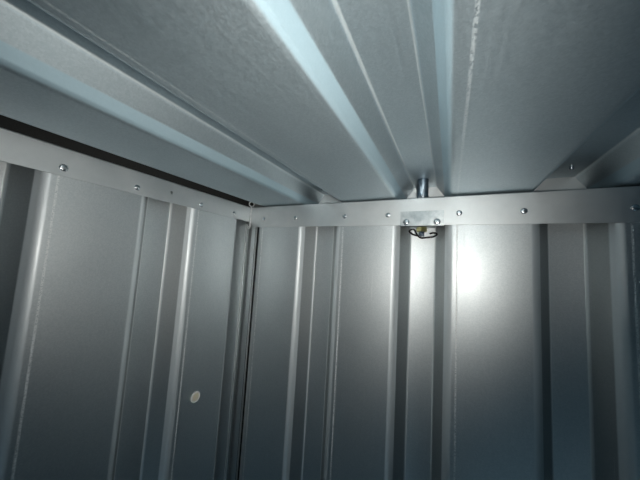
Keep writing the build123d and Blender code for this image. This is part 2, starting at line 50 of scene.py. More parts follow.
# Camera. It stands inside the room, high up in the left back corner, and looks at that corner from below
# the roof. Its place is given from the corner of the room, where the inner faces of the pans meet.
inner_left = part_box("left_wall_sheet_middle")[1].x
inner_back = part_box("back_wall_sheet_left")[0].y
rail_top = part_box("top_rail_back")[1].z
camera_from_left = 0.4446
camera_from_back = 0.4929
camera_below_rail = 0.1289
camera_right = Vector((0.89443, 0.44338, 0.05859))
camera_up = Vector((-0.01217, -0.10684, 0.99424))
camera_forward = camera_up.cross(camera_right)
camera_place = Vector((inner_left + camera_from_left, inner_back - camera_from_back, rail_top - camera_below_rail))
camera_data = bpy.data.cameras.new("camera")
camera_data.sensor_width = 36
camera_data.lens = 14.62
camera_data.clip_start = 0.01
camera = bpy.data.objects.new("camera", camera_data)
scene.collection.objects.link(camera)
turned = Matrix((camera_right, camera_up, -camera_forward)).transposed()
camera.matrix_world = Matrix.Translation(camera_place) @ turned.to_4x4()
scene.camera = camera

# Walls. Trapezoidal sheet 35/207 of hot-dip galvanised steel 0.75 mm thick, roll formed and cut to length.
# The wide pans face the room and the ribs stand outwards, so that the ends meet the posts and rails.
# Each wall is two or three sheets that lap on a rib and are riveted to the rails.
rib_pitch = 0.207
rib_depth = 0.035
half_crest = 0.021
web_run = 0.024
sheet_thickness = 0.00075
pan_bend_radius = 0.01175
crest_bend_radius = 0.002
half_lap = 0.017
lap_rise = 0.00105
web_angle = math.atan2(rib_depth, web_run)
room_centre = (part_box("left_wall_sheet_back")[1].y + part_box("left_wall_sheet_front")[0].y) / 2


def linear(hex_colour):
    """An sRGB hex colour as a linear colour with full alpha."""
    channels = [int(hex_colour[i:i + 2], 16) / 255 for i in (1, 3, 5)]
    return [c / 12.92 if c < 0.04045 else ((c + 0.055) / 1.055) ** 2.4 for c in channels] + [1]


def fill(tree, node, inputs):
    """Fills a node's sockets, by name or in their order, with numbers, hex colours or links from other nodes."""
    in_order = [socket for socket in node.inputs if socket.enabled]
    for key, value in inputs.items() if isinstance(inputs, dict) else enumerate(inputs):
        socket = node.inputs[key] if isinstance(key, str) else in_order[key]
        if isinstance(value, bpy.types.Node):
            value = [output for output in value.outputs if output.enabled][0]
        if isinstance(value, bpy.types.NodeSocket):
            tree.links.new(value, socket)
        else:
            socket.default_value = linear(value) if isinstance(value, str) else value


def add(tree, kind, inputs=(), stops=(), **settings):
    """Adds a node with its inputs and settings, and a ramp's stops of (position, hex colour or grey level)."""
    made = tree.nodes.new(kind)
    for name, value in settings.items():
        setattr(made, name, value)
    fill(tree, made, inputs)
    if stops:
        points = made.color_ramp.elements
        while len(points) < len(stops):
            points.new(0.5)
        for point, (position, value) in zip(points, stops):
            point.position = position
            point.color = linear(value) if isinstance(value, str) else (value, value, value, 1)
    return made


def new_material(name):
    """A material with an empty principled shader, and its node tree, shader and object coordinates."""
    material = bpy.data.materials.new(name)
    material.use_nodes = True
    tree = material.node_tree
    shader = tree.nodes["Principled BSDF"]
    place = add(tree, "ShaderNodeTexCoord").outputs["Object"]
    return material, tree, shader, place


def galvanised_sheet(name, run_axis, shades, roughness, crystal_roughness, bend_highlight_shade, bend_ends, bend_highlight_strength,
                     crest_highlight_strength, web_shade_strength, scuff_strength):
    """Hot-dip galvanised steel, roll formed: satin zinc under a thin blue-grey film, with fine spangle. Across its
    profile a painted highlight makes the bends and the crest edges paler and less metallic, painted shade makes the
    webs darker, and the rolls scuff a line beside the pans. Grain, spangle and specks are drawn coarser than the real
    ones, so that they show."""
    grain_size = 0.0010
    spangle_size = 0.0016
    speck_size = 0.0016
    cloud_size = 0.11
    patch_size = 0.25
    roll_line_width = 0.003
    roll_line_length = 0.5
    scratch_width = 0.0012
    scratch_length = 0.09
    scratch_turn = 0.9
    scuff_from_rib = 0.0568
    scuff_half_width = 0.0018
    bend_start, bend_end = bend_ends
    bend_full = bend_start + 0.0015
    crest_edge_band = (0.0196, 0.0204, 0.0219, 0.0228)
    web_band = (0.0228, 0.0238, bend_start, bend_full)
    bend_band = (bend_start, bend_full, bend_end - 0.003, bend_end)
    line_roughness = 0.08
    cell_roughness = 0.05
    relief_size = {"Strength": 0.015, "Distance": 0.0002}
    smooth = {"interpolation_type": "SMOOTHSTEP"}
    material, tree, shader, place = new_material(name)
    stretch = [1 / roll_line_width] * 3
    stretch["XYZ".index(run_axis)] = 1 / roll_line_length
    drawn = add(tree, "ShaderNodeMapping", {"Vector": place, "Scale": stretch})
    turned = add(tree, "ShaderNodeMapping", {"Vector": place, "Rotation": [scratch_turn] * 3,
                                             "Scale": (1 / scratch_width, 1 / scratch_width, 1 / scratch_length)})
    cell = add(tree, "ShaderNodeTexVoronoi", {"Vector": place, "Scale": 1 / spangle_size}).outputs["Color"]
    cell = add(tree, "ShaderNodeSeparateColor", [cell]).outputs
    grain, specks, clouds, patches, lines, scratches = [
        add(tree, "ShaderNodeTexNoise", {"Vector": spot, "Scale": scale, "Detail": detail})
        for spot, scale, detail in ((place, 1 / grain_size, 1), (place, 1 / speck_size, 3), (place, 1 / cloud_size, 2),
                                    (place, 1 / patch_size, 1), (drawn, 1, 2), (turned, 1, 1))]

    # Where a place lies across the profile: on the edge of a crest, a web, the bend at a pan, or the scuffed line.
    profile = add(tree, "ShaderNodeTexCoord").outputs["UV"]
    profile = add(tree, "ShaderNodeSeparateXYZ", [profile]).outputs["X"]
    off_rib = add(tree, "ShaderNodeMath", (profile, rib_pitch / 2), operation="PINGPONG")
    bands = []
    for start, full, fading, end in (crest_edge_band, web_band, bend_band):
        begun = add(tree, "ShaderNodeMapRange", (off_rib, start, full, 0, 1), **smooth)
        unended = add(tree, "ShaderNodeMapRange", (off_rib, fading, end, 1, 0), **smooth)
        bands.append(add(tree, "ShaderNodeMath", (begun, unended), operation="MULTIPLY"))
    crest_highlight, web_shade, bend_highlight = bands
    crest_highlight = add(tree, "ShaderNodeMath", (crest_highlight, crest_highlight_strength), operation="MULTIPLY")
    from_rib = add(tree, "ShaderNodeMath", (profile, rib_pitch, 0), operation="WRAP")
    off_line = add(tree, "ShaderNodeMath", (from_rib, scuff_from_rib), operation="SUBTRACT")
    off_line = add(tree, "ShaderNodeMath", [off_line], operation="ABSOLUTE")
    line = add(tree, "ShaderNodeMapRange", (off_line, scuff_half_width / 3, scuff_half_width, 1, 0), **smooth)
    specks = add(tree, "ShaderNodeMath", (patches, 0.15, specks), operation="MULTIPLY_ADD")
    specks = add(tree, "ShaderNodeMapRange", (specks, 0.48, 0.58, 0, 1), **smooth)
    scuff = add(tree, "ShaderNodeMath", (line, specks), operation="MULTIPLY")
    scuff = add(tree, "ShaderNodeMath", (scuff, scuff_strength), operation="MULTIPLY")
    scratches = add(tree, "ShaderNodeMapRange", (scratches, 0.74, 0.80, 0, 1), **smooth)
    worn = add(tree, "ShaderNodeMapRange", (patches, 0.52, 0.62, 0, 1), **smooth)
    scratches = add(tree, "ShaderNodeMath", (scratches, worn), operation="MULTIPLY")

    tone = add(tree, "ShaderNodeMath", (cell["Red"], 0.3), operation="MULTIPLY")
    tone = add(tree, "ShaderNodeMath", (clouds, 0.4, tone), operation="MULTIPLY_ADD")
    tone = add(tree, "ShaderNodeMath", (grain, 0.3, tone), operation="MULTIPLY_ADD")
    colour = add(tree, "ShaderNodeValToRGB", [tone], tuple(zip((0.2, 0.5, 0.8), shades)))
    # Painted shade darkens the webs, painted highlight makes the bends and crest edges paler, and scuffs and scratches
    # are marks on the zinc.
    for part, strength, shade in ((web_shade, web_shade_strength, "#6e706e"), (bend_highlight, bend_highlight_strength, bend_highlight_shade),
                                  (crest_highlight, 1, "#dde3e4"), (scuff, 1, "#e8eced"), (scratches, 0.5, "#f0f3f4")):
        share = add(tree, "ShaderNodeMath", (part, strength), operation="MULTIPLY")
        colour = add(tree, "ShaderNodeMix", (share, colour, shade), data_type="RGBA")

    # The zinc's crystals are far finer than a pixel, and each shines differently, so together they give a sharp
    # middle and a wide skirt to a highlight.
    crystals = add(tree, "ShaderNodeTexWhiteNoise", {"Vector": place})
    middle = (line_roughness + crystal_roughness + cell_roughness) / 2
    rough = add(tree, "ShaderNodeMath", (lines, line_roughness), operation="MULTIPLY")
    rough = add(tree, "ShaderNodeMath", (crystals, crystal_roughness, rough), operation="MULTIPLY_ADD")
    rough = add(tree, "ShaderNodeMath", (cell["Green"], cell_roughness, rough), operation="MULTIPLY_ADD")
    rough = add(tree, "ShaderNodeMath", (rough, roughness - middle), operation="ADD")
    # Where the bends and crest edges carry painted highlight, the zinc is made less metallic, so that their pale
    # colour shows.
    painted_highlight = add(tree, "ShaderNodeMath", (bend_highlight, crest_highlight), operation="MAXIMUM")
    metal = add(tree, "ShaderNodeMix", (painted_highlight, 1, 0.55), data_type="FLOAT")
    metal = add(tree, "ShaderNodeMix", (scuff, metal, 0), data_type="FLOAT")
    relief = add(tree, "ShaderNodeBump", {"Height": grain, **relief_size})
    relief = add(tree, "ShaderNodeBump", {"Height": cell["Blue"], "Normal": relief, **relief_size})
    fill(tree, shader, {"Base Color": colour, "Metallic": metal, "Roughness": rough, "Normal": relief,
                        "Coat Weight": 0.25, "Coat Roughness": 0.22})
    return material


wall_sheet_zinc = galvanised_sheet(
    "hot_dip_galvanised_wall_sheet", "Z", ("#c3cccf", "#cdd4d7", "#d7dddf"), roughness=0.53, crystal_roughness=0.20,
    bend_highlight_shade="#dbe2e5", bend_ends=(0.0375, 0.0520), bend_highlight_strength=0.85, crest_highlight_strength=1, web_shade_strength=0.42,
    scuff_strength=1)
# The roof's shades and its bend highlight are bluer than the wall's: painted colour of the blue daylight on the roof.
roof_sheet_zinc = galvanised_sheet(
    "hot_dip_galvanised_roof_sheet", "Y", ("#b7c8cf", "#c1d0d7", "#ccdae0"), roughness=0.57, crystal_roughness=0.24,
    bend_highlight_shade="#a6c4d1", bend_ends=(0.0350, 0.0475), bend_highlight_strength=0.75, crest_highlight_strength=0.45, web_shade_strength=0.15,
    scuff_strength=0.25)


def clear():
    """Deselects everything, the loaded frame included."""
    for other in bpy.context.selected_objects:
        other.select_set(False)


def only(piece):
    """Makes a piece the only selected and active object."""
    clear()
    piece.select_set(True)
    bpy.context.view_layer.objects.active = piece


def pick(piece, kind, test):
    """In edit mode, selects the piece's vertices, edges or faces whose middle passes a test."""
    bpy.ops.mesh.select_all(action="DESELECT")
    bpy.context.tool_settings.mesh_select_mode = (kind == "VERT", kind == "EDGE", kind == "FACE")
    shape = bmesh.from_edit_mesh(piece.data)
    for part in {"VERT": shape.verts, "EDGE": shape.edges, "FACE": shape.faces}[kind]:
        spots = [part.co] if kind == "VERT" else [v.co for v in part.verts]
        if test([spot.copy() for spot in spots]):
            part.select_set(True)
    shape.select_flush_mode()
    bmesh.update_edit_mesh(piece.data)


def finished(piece, name, material, smooth=30):
    """Applies a piece's modifiers and its place, and gives it its name, finish and body."""
    only(piece)
    for modifier in list(piece.modifiers):
        bpy.ops.object.modifier_apply(modifier=modifier.name)
    bpy.ops.object.transform_apply(location=True, rotation=True, scale=True)
    bpy.ops.object.shade_smooth_by_angle(angle=math.radians(smooth))
    piece.name = name
    piece.data.materials.clear()
    piece.data.materials.append(material)
    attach(piece, "root")
    return piece


def rib_line(first, last, start, stop, lap_start=False):
    """Corners of a sheet's inner face, from rib number first to rib number last."""
    first_rise = rib_depth + (lap_rise if lap_start else 0)
    corners = [(start, first_rise), (first * rib_pitch + half_crest, first_rise)]
    corners.append((first * rib_pitch + half_crest + web_run, 0))
    for number in range(first + 1, last):
        for offset, rise in ((-half_crest - web_run, 0), (-half_crest, rib_depth),
                             (half_crest, rib_depth), (half_crest + web_run, 0)):
            corners.append((number * rib_pitch + offset, rise))
    corners.append((last * rib_pitch - half_crest - web_run, 0))
    corners.append((last * rib_pitch - half_crest, rib_depth))
    corners.append((stop, rib_depth))
    return corners


def rolled_sheet(corners, run):
    """A sheet that stands on z = 0: its first flat is pushed on from corner to corner, and its bends are rounded."""
    (x0, u0), (x1, u1) = corners[:2]
    middle = ((x0 + x1) / 2, (u0 + u1) / 2, run / 2)
    clear()
    bpy.ops.mesh.primitive_plane_add(size=1, location=middle, rotation=(math.pi / 2, 0, 0))
    sheet = bpy.context.object
    sheet.scale = (x1 - x0, run, 1)
    bpy.ops.object.transform_apply(location=True, rotation=True, scale=True)
    bpy.ops.object.mode_set(mode="EDIT")
    if u1 != u0:
        pick(sheet, "VERT", lambda spots: abs(spots[0].x - x0) < 1e-5)
        bpy.ops.transform.translate(value=(0, u0 - (u0 + u1) / 2, 0))
        pick(sheet, "VERT", lambda spots: abs(spots[0].x - x1) < 1e-5)
        bpy.ops.transform.translate(value=(0, u1 - (u0 + u1) / 2, 0))
    pick(sheet, "EDGE", lambda spots: all(abs(spot.x - x1) < 1e-5 for spot in spots))
    for (xa, ua), (xb, ub) in zip(corners[1:], corners[2:]):
        bpy.ops.mesh.extrude_region_move(TRANSFORM_OT_translate={"value": (xb - xa, ub - ua, 0)})
    ends = (corners[0][0], corners[-1][0])
    for radius, segments, at_pan in ((pan_bend_radius, 8, True), (crest_bend_radius, 3, False)):
        pick(sheet, "EDGE", lambda spots: (
            abs(spots[0].z - spots[1].z) > run / 2
            and (abs(spots[0].y) < 1e-5) == at_pan
            and (spots[0].y < 1e-5 or spots[0].y > rib_depth * 0.9)
            and all(abs(spots[0].x - end) > 1e-4 for end in ends)))
        offset = radius * math.tan(web_angle / 2)
        bpy.ops.mesh.bevel(offset=offset, offset_type="OFFSET", segments=segments, profile=0.5, affect="EDGES")
    bpy.ops.object.mode_set(mode="OBJECT")
    wall = sheet.modifiers.new("thickness", "SOLIDIFY")
    wall.thickness = sheet_thickness
    wall.offset = -1
    wall.use_even_offset = True
    bpy.ops.object.modifier_apply(modifier=wall.name)
    profile_map = sheet.data.uv_layers[0] if sheet.data.uv_layers else sheet.data.uv_layers.new(name="profile")
    for loop in sheet.data.loops:
        spot = sheet.data.vertices[loop.vertex_index].co
        profile_map.data[loop.index].uv = (spot.x, spot.y)
    return sheet


def turned_about(corners):
    """The same corners seen from the opposite side wall."""
    return [(-x, u) for x, u in reversed(corners)]


wall_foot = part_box("back_wall_sheet_left")[0].z
wall_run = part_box("back_wall_sheet_left")[1].z - wall_foot
across = 5
along = 7
lap_rib = across - along
half_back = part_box("back_wall_sheet_right")[1].x
half_side = (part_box("left_wall_sheet_back")[1].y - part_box("left_wall_sheet_front")[0].y) / 2
back_lines = {
    "back_wall_sheet_left": rib_line(-across, 0, -half_back, half_lap),
    "back_wall_sheet_right": rib_line(0, across, -half_lap, half_back, True),
}
side_lines = {
    "front": rib_line(-along, lap_rib, -half_side, lap_rib * rib_pitch + half_lap),
    "middle": rib_line(lap_rib, -lap_rib, lap_rib * rib_pitch - half_lap, -lap_rib * rib_pitch + half_lap, True),
    "back": rib_line(-lap_rib, along, -lap_rib * rib_pitch - half_lap, half_side, True),
}
for node, corners in back_lines.items():
    sheet = rolled_sheet(corners, wall_run)
    sheet.location = (0, inner_back, wall_foot)
    finished(sheet, node + "_rolled", wall_sheet_zinc)
    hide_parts(node)
for place, corners in side_lines.items():
    for side, turn, line in (("left", 1, corners), ("right", -1, turned_about(corners))):
        sheet = rolled_sheet(line, wall_run)
        sheet.rotation_euler = (0, 0, turn * math.pi / 2)
        sheet.location = (turn * inner_left, room_centre, wall_foot)
        finished(sheet, f"{side}_wall_sheet_{place}_rolled", wall_sheet_zinc)
        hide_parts(f"{side}_wall_sheet_{place}")

# Roof. The same sheet laid with its pans down, its ribs running from the back to the door, and lapped on
# the middle rib. Its ends lie on the sealing strips under the lip of the fascia.
roof_low, roof_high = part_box("roof_sheet_left")
roof_level = roof_low.z
roof_run = roof_high.y - roof_low.y
roof_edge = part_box("roof_sheet_right")[1].x
roof_rib_edge = roof_edge - web_run
roof_lines = {
    "roof_sheet_left": [(-roof_edge, 0)] + rib_line(-across, 0, -roof_rib_edge, half_lap),
    "roof_sheet_right": rib_line(0, across, -half_lap, roof_rib_edge, True) + [(roof_edge, 0)],
}
for node, corners in roof_lines.items():
    sheet = rolled_sheet(corners, roof_run)
    sheet.rotation_euler = (math.pi / 2, 0, 0)
    sheet.location = (0, roof_high.y, roof_level)
    finished(sheet, node + "_rolled", roof_sheet_zinc)
    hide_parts(node)

# Frame. Rails, posts, fascias, jambs and door tubes are folded from pre-galvanised steel 2 and 3 mm thick,
# smoother and lighter than the rolled sheet, and riveted and welded together.


def galvanised_frame_steel():
    """Pre-galvanised folded steel: smooth satin zinc, clouded and finely grained."""
    material, tree, shader, place = new_material("galvanised_folded_steel")
    cloud_size = 0.05
    grain_size = 0.0012
    clouds = add(tree, "ShaderNodeTexNoise", {"Vector": place, "Scale": 1 / cloud_size, "Detail": 5, "Roughness": 0.6})
    grain = add(tree, "ShaderNodeTexNoise", {"Vector": place, "Scale": 1 / grain_size, "Detail": 2})
    colour = add(tree, "ShaderNodeValToRGB", [clouds], ((0.3, "#ced4d6"), (0.55, "#d8dddf"), (0.8, "#e1e5e5")))
    both = add(tree, "ShaderNodeMath", (clouds, grain), operation="ADD")
    rough = add(tree, "ShaderNodeMapRange", (both, 0.6, 1.4, 0.50, 0.62))
    relief = add(tree, "ShaderNodeBump", {"Height": grain, "Strength": 0.10, "Distance": 0.0003})
    waves = add(tree, "ShaderNodeBump", {"Height": clouds, "Normal": relief, "Strength": 0.2, "Distance": 0.001})
    fill(tree, shader, {"Base Color": colour, "Metallic": 1, "Roughness": rough, "Normal": waves})
    return material


frame_steel = galvanised_frame_steel()
finish_of_slot = {"galvanised_frame": frame_steel, "galvanised_sheet": wall_sheet_zinc}

# Rivets. Domed blind rivets of zinc-plated steel fix the sheets to the top rails and to the skirting, two to
# each pan. The drawn-off pin leaves a small hollow in each head.
rivet_radius = 0.0046
rivet_edge = 0.0005
rivet_from_pan_centre = 0.044
end_rivet_rise = 0.020
side_rivet_rise = 0.0105
skirting_rivet_drop = 0.011


def turned_piece(radius, edge, steps, sides=24):
    """A turned piece on z = 0: a low round bar whose upper face is inset and raised by each (inset, rise) step."""
    clear()
    bpy.ops.mesh.primitive_cylinder_add(vertices=sides, radius=radius, depth=edge, location=(0, 0, edge / 2))
    piece = bpy.context.object
    bpy.ops.object.transform_apply(location=True, rotation=False, scale=False)
    bpy.ops.object.mode_set(mode="EDIT")
    pick(piece, "FACE", lambda spots: all(spot.z > edge - 1e-6 for spot in spots))
    for inset, rise in steps:
        bpy.ops.mesh.inset(thickness=inset, depth=rise)
    bpy.ops.object.mode_set(mode="OBJECT")
    return piece


def joined(pieces):
    """Joins pieces into one."""
    only(pieces[0])
    for piece in pieces:
        piece.select_set(True)
    bpy.ops.object.join()
    return bpy.context.object


def set_out(piece, places):
    """Puts a copy of a piece at each (origin, direction) place, joins the copies and drops the first."""
    made = []
    for origin, direction in places:
        copy = piece.copy()
        copy.data = piece.data.copy()
        scene.collection.objects.link(copy)
        turn = Vector(direction).to_track_quat("Z", "Y").to_matrix().to_4x4()
        copy.matrix_world = Matrix.Translation(origin) @ turn
        made.append(copy)
    bpy.data.objects.remove(piece)
    return joined(made)


def zinc_plated_steel(name, dark, light, roughness, metallic=1.0):
    """Electroplated steel under a thin passive film, which clouds the metal's colour from one shade to another."""
    material, tree, shader, place = new_material(name)
    film_size = 0.012
    grit_size = 0.0008
    film = add(tree, "ShaderNodeTexNoise", {"Vector": place, "Scale": 1 / film_size, "Detail": 4})
    grit = add(tree, "ShaderNodeTexNoise", {"Vector": place, "Scale": 1 / grit_size, "Detail": 2})
    colour = add(tree, "ShaderNodeValToRGB", [film], ((0.35, dark), (0.65, light)))
    rough = add(tree, "ShaderNodeMath", (film, 0.12, roughness), operation="MULTIPLY_ADD")
    relief = add(tree, "ShaderNodeBump", {"Height": grit, "Strength": 0.12, "Distance": 0.0002})
    fill(tree, shader, {"Base Color": colour, "Metallic": metallic, "Roughness": rough, "Normal": relief})
    return material


bright_zinc = zinc_plated_steel("bright_zinc_plated_steel", "#b9c2c9", "#dfe4e6", 0.2)
dome_steps = ((0.0004, 0.0005), (0.0007, 0.0004), (0.0011, 0.0003), (0.0012, 0.0001), (0.0002, -0.0004),
              (0.0004, 0.0001))
pan_spots = [(number + 0.5) * rib_pitch + side * rivet_from_pan_centre
             for number in range(-along, along) for side in (-1, 1)]
back_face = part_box("top_rail_back")[0].y
back_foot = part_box("top_rail_back")[0].z
rivet_places = {"top_rail_back": [((x, back_face, back_foot + end_rivet_rise), (0, -1, 0))
                                  for x in pan_spots if abs(x) < across * rib_pitch]}
skirting_low, skirting_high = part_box("base_rail_back")
for x in pan_spots:
    if abs(x) < across * rib_pitch:
        spot = (x, skirting_low.y, skirting_high.z - skirting_rivet_drop)
        rivet_places.setdefault("base_rail_back", []).append((spot, (0, -1, 0)))
for side, face, inwards in (("left", 1, 1), ("right", 0, -1)):
    for rail in (f"top_rail_{side}", f"base_rail_{side}"):
        low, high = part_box(rail)
        level = low.z + side_rivet_rise if rail.startswith("top") else high.z - skirting_rivet_drop
        rivet_places[rail] = [(((low, high)[face].x, room_centre + y, level), (inwards, 0, 0)) for y in pan_spots]
for rail, places in rivet_places.items():
    rivets = set_out(turned_piece(rivet_radius, rivet_edge, dome_steps, 16), places)
    finished(rivets, f"rivets_{rail}", bright_zinc, smooth=40)

# Ties. Under two ribs of the roof, a bolt passes through the back rail and a spacer sleeve up to the crest.
# Its nut draws up a folded plate that two screws fix to the rail, and a bent wire clip keeps the nut on.
tie_rib = 3
tie_x = tie_rib * rib_pitch
tie_y = inner_back + 0.010
plate_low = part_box("tie_plates")[0]
fit = 0.0003
bolt_radius = 0.005
bolt_tail = 0.007
nut_size = 0.017
nut_height = 0.008
thread_pitch = 0.0015
sleeve_radius = 0.010
sleeve_wall = 0.002
sleeve_edge = 0.0006
sleeve_hollow = 0.004
tie_screw_radius = 0.0055
tie_screw_edge = 0.0012
tie_screw_steps = ((0.0008, 0.0007), (0.0012, 0.0005), (0.0014, 0.0002))
tie_screw_top = 0.0026
cross_reach = 0.0026
cross_width = 0.0009
cross_depth = 0.0012
tie_screw_distance = 0.0257
tie_screw_rise = 0.0075
crest_under = roof_level + rib_depth
nut_top = plate_low.z - fit


def hexagon(flats, height):
    """A nut or bolt head on z = 0: a chamfered round bar with six sides cut off."""
    corner = flats / 2 / math.cos(math.pi / 6)
    chamfer = (corner - flats / 2) * 1.1
    clear()
    bpy.ops.mesh.primitive_cylinder_add(vertices=48, radius=corner, depth=height, location=(0, 0, height / 2))
    piece = bpy.context.object
    bpy.ops.object.transform_apply(location=True, rotation=False, scale=False)
    bpy.ops.object.mode_set(mode="EDIT")
    pick(piece, "EDGE", lambda spots: abs(spots[0].z - spots[1].z) < height / 2)
    bpy.ops.mesh.bevel(offset=chamfer, segments=1, affect="EDGES")
    for side in range(6):
        direction = Vector((math.cos(side * math.pi / 3), math.sin(side * math.pi / 3), 0))
        bpy.ops.mesh.select_all(action="SELECT")
        bpy.ops.mesh.bisect(plane_co=direction * flats / 2, plane_no=direction, use_fill=True, clear_outer=True)
    bpy.ops.object.mode_set(mode="OBJECT")
    return piece


def threaded_end(radius, run, pitch):
    """A threaded bolt end that hangs down from z = 0, drawn as rings, with a chamfered tip."""
    root = 0.86
    clear()
    bpy.ops.mesh.primitive_circle_add(vertices=24, radius=radius, fill_type="NGON", location=(0, 0, 0))
    piece = bpy.context.object
    bpy.ops.object.mode_set(mode="EDIT")
    bpy.ops.mesh.select_all(action="SELECT")
    for number in range(round(run / pitch)):
        for size in (root, 1 / root):
            bpy.ops.mesh.extrude_region_move(TRANSFORM_OT_translate={"value": (0, 0, -pitch / 2)})
            bpy.ops.transform.resize(value=(size, size, 1), center_override=(0, 0, 0))
    bpy.ops.mesh.extrude_region_move(TRANSFORM_OT_translate={"value": (0, 0, -pitch / 2)})
    bpy.ops.transform.resize(value=(root, root, 1), center_override=(0, 0, 0))
    bpy.ops.mesh.select_all(action="SELECT")
    bpy.ops.mesh.normals_make_consistent(inside=False)
    bpy.ops.object.mode_set(mode="OBJECT")
    return piece


def cross_recess(piece, level, reach, width, depth):
    """Cuts a cross for a screwdriver into the top of a screw head at this level."""
    cutters = []
    for turn in (0, math.pi / 2):
        clear()
        bpy.ops.mesh.primitive_cube_add(size=1, location=(0, 0, level), rotation=(0, 0, turn))
        cutter = bpy.context.object
        cutter.scale = (2 * reach, width, 2 * depth)
        cut = piece.modifiers.new("cross", "BOOLEAN")
        cut.operation = "DIFFERENCE"
        cut.object = cutter
        cutters.append(cutter)
    only(piece)
    for modifier in list(piece.modifiers):
        bpy.ops.object.modifier_apply(modifier=modifier.name)
    for cutter in cutters:
        bpy.data.objects.remove(cutter)


both_ties = (-tie_x, tie_x)
yellow_zinc = zinc_plated_steel("yellow_passivated_zinc", "#d6cb86", "#efe9bb", 0.28)
dull_zinc = zinc_plated_steel("blue_passivated_zinc", "#8e9aa6", "#b4bec8", 0.16)
nuts = set_out(hexagon(nut_size, nut_height), [((x, tie_y, nut_top - nut_height), (0, 0, 1)) for x in both_ties])
finished(nuts, "tie_nuts", yellow_zinc)
sleeve_run = crest_under - rail_top - 2 * fit
clear()
bpy.ops.mesh.primitive_cylinder_add(vertices=48, radius=sleeve_radius, depth=sleeve_run,
                                    location=(0, 0, sleeve_run / 2))
sleeve = bpy.context.object
bpy.ops.object.transform_apply(location=True, rotation=False, scale=False)
bpy.ops.object.mode_set(mode="EDIT")
pick(sleeve, "EDGE", lambda spots: abs(spots[0].z - spots[1].z) < sleeve_run / 2)
bpy.ops.mesh.bevel(offset=sleeve_edge, segments=2, affect="EDGES")
pick(sleeve, "FACE", lambda spots: all(spot.z < 1e-6 for spot in spots)
     or all(spot.z > sleeve_run - 1e-6 for spot in spots))
bpy.ops.mesh.inset(thickness=sleeve_wall, depth=0)
bpy.ops.mesh.inset(thickness=0, depth=-sleeve_hollow)
bpy.ops.object.mode_set(mode="OBJECT")
sleeves = set_out(sleeve, [((x, tie_y, rail_top + fit), (0, 0, 1)) for x in both_ties])
finished(sleeves, "tie_sleeves", dull_zinc)
tails = set_out(threaded_end(bolt_radius, bolt_tail, thread_pitch),
                [((x, tie_y, nut_top - nut_height), (0, 0, 1)) for x in both_ties])
finished(tails, "tie_bolt_ends", dull_zinc, smooth=50)
head_foot = crest_under + sheet_thickness + fit
head_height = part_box("tie_bolts")[1].z - head_foot
heads = set_out(hexagon(nut_size, head_height), [((x, tie_y, head_foot), (0, 0, 1)) for x in both_ties])
finished(heads, "tie_bolt_heads", bright_zinc)
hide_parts("tie_bolts")
tie_screw = turned_piece(tie_screw_radius, tie_screw_edge, tie_screw_steps)
cross_recess(tie_screw, tie_screw_top, cross_reach, cross_width, cross_depth)
screw_places = [((x + side * tie_screw_distance, plate_low.y, plate_low.z + tie_screw_rise), (0, -1, 0))
                for x in both_ties for side in (-1, 1)]
finished(set_out(tie_screw, screw_places), "tie_plate_screws", bright_zinc)
clip_wire_radius = 0.0016
millimetre = 0.001
clip_route = [
    (-13, -3, -3), (-18.5, -2.5, -1), (-24.5, -4, -1.5), (-25.5, -6, -4.5), (-20, -8.5, -8), (-12, -8.5, -9),
    (-5, -8.5, -9.5), (1, -9, -10.8), (6.5, -8, -8), (10.5, -5, -1), (12, 1, 4), (15.5, 1.5, 5), (21.5, 0, 3.4),
    (22.3, -2, 0.2), (17, -5, -3.5), (10, -7.5, -6.5), (3.5, -8.5, -6.5),
]


def blackened_wire():
    """Spring wire with a black oxide finish: near black, and worn to the steel here and there."""
    material, tree, shader, place = new_material("black_oxide_spring_wire")
    wear_size = 0.004
    wear = add(tree, "ShaderNodeTexNoise", {"Vector": place, "Scale": 1 / wear_size, "Detail": 3})
    colour = add(tree, "ShaderNodeValToRGB", [wear], ((0.45, "#17181a"), (0.62, "#2c2b29"), (0.72, "#6d6a64")))
    rough = add(tree, "ShaderNodeValToRGB", [wear], ((0.4, 0.32), (0.7, 0.5)))
    fill(tree, shader, {"Base Color": colour, "Metallic": 0.8, "Roughness": rough})
    return material


def bent_wire(name, route, unit, radius):
    """A round wire that runs smoothly through the points of a route, which are given in this unit."""
    line = bpy.data.curves.new(name, "CURVE")
    line.dimensions = "3D"
    line.bevel_depth = radius
    line.bevel_resolution = 4
    line.use_fill_caps = True
    run = line.splines.new("NURBS")
    run.points.add(len(route) - 1)
    run.order_u = 4
    run.resolution_u = 6
    run.use_endpoint_u = True
    for point, spot in zip(run.points, route):
        point.co = (*[value * unit for value in spot], 1)
    wire = bpy.data.objects.new(name, line)
    scene.collection.objects.link(wire)
    only(wire)
    bpy.ops.object.convert(target="MESH")
    return bpy.context.object


clips = set_out(bent_wire("tie_clip", clip_route, millimetre, clip_wire_radius),
                [((x, tie_y, nut_top - nut_height), (0, 0, 1)) for x in both_ties])
finished(clips, "tie_wire_clips", blackened_wire(), smooth=60)

